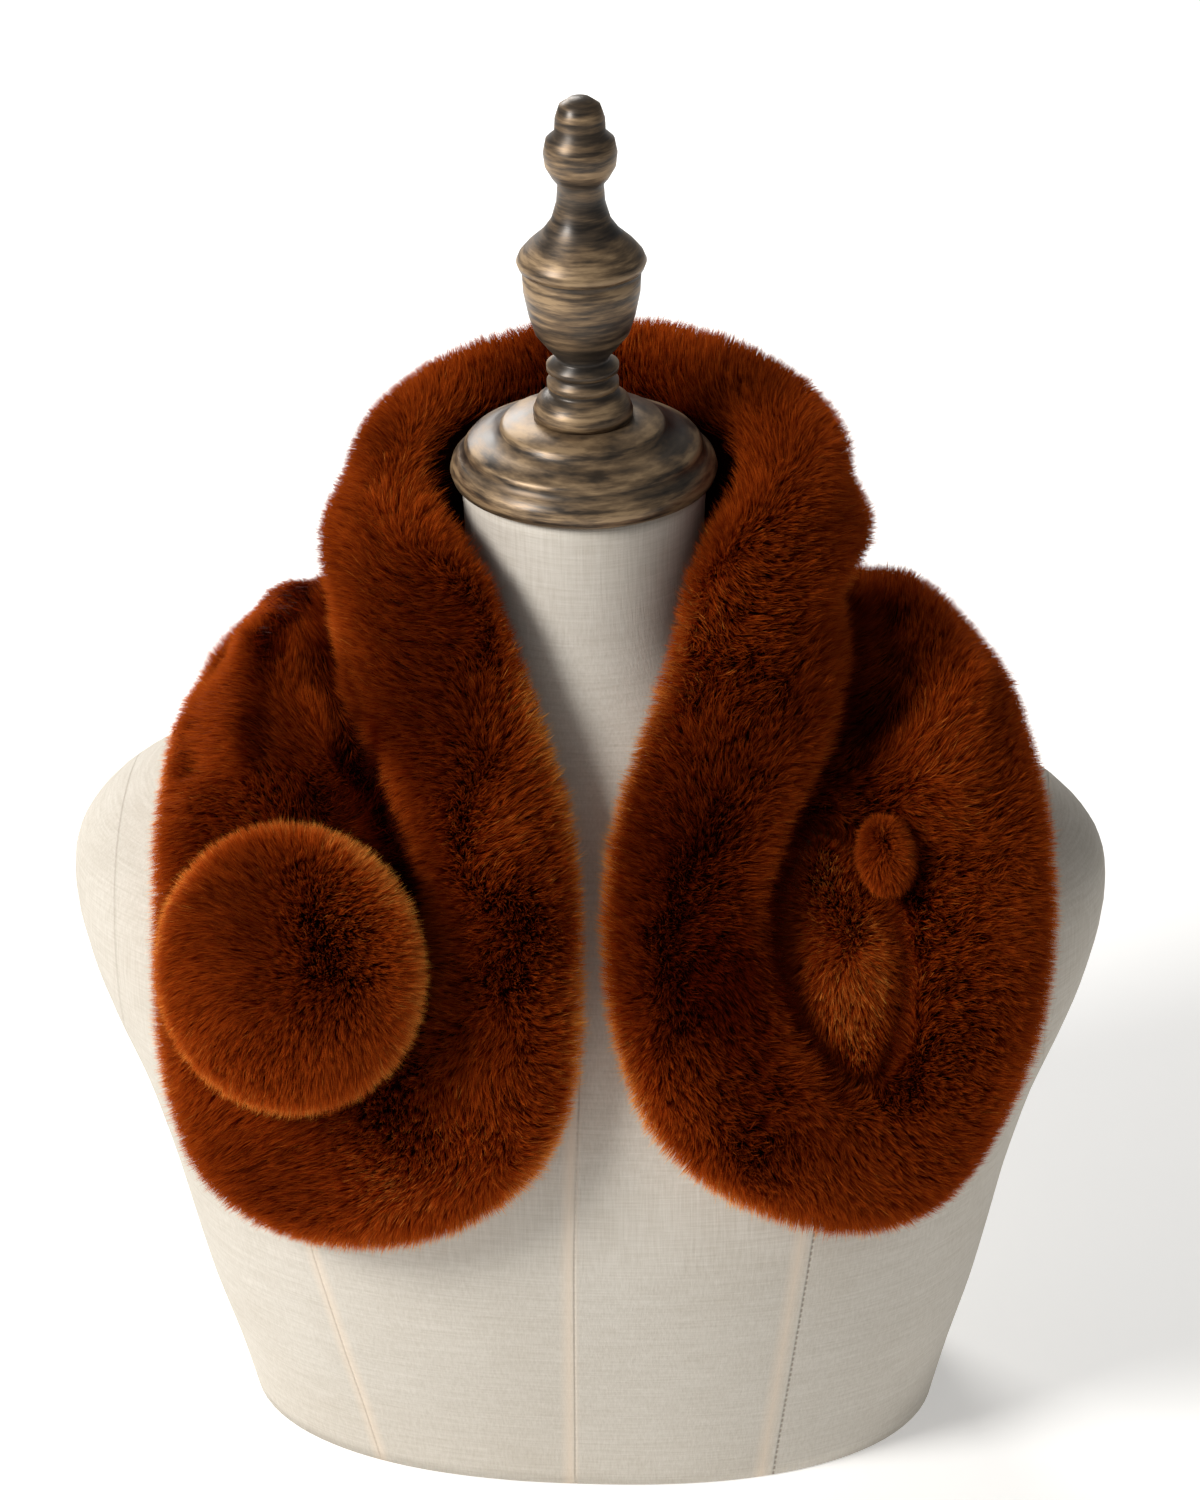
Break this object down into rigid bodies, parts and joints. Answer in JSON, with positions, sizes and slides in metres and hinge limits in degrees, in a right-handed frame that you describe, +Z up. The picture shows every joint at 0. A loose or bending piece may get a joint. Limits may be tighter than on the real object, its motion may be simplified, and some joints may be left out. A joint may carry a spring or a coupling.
{
  "type": "fur collar wrap on a limbless dress form",
  "caption": "Plush fur collar wrap rolled round the neck of a linen dress form, with a fur disc on one flap and a lined slit in the other; turned finial on top.",
  "frame": {"origin": "centre of the dress form's flat underside, below the neck's axis", "axes": "+Z up along the neck's axis, -Y the way the front faces, +X to the right as seen from the front"},
  "size_m": [0.4006, 0.2679, 0.55],
  "materials": {
    "fur": "plush pile",
    "linen": "plain weave",
    "turned_wood": "bronze paint, brushed"
  },
  "bodies": {
    "root": {"form_torso": "linen", "form_neck_cap": "turned_wood", "form_finial": "turned_wood", "wrap_left": "fur", "wrap_right": "fur", "wrap_disc": "fur", "slit_keeper": "fur", "slit_tab": "fur"}
  },
  "joints": []
}
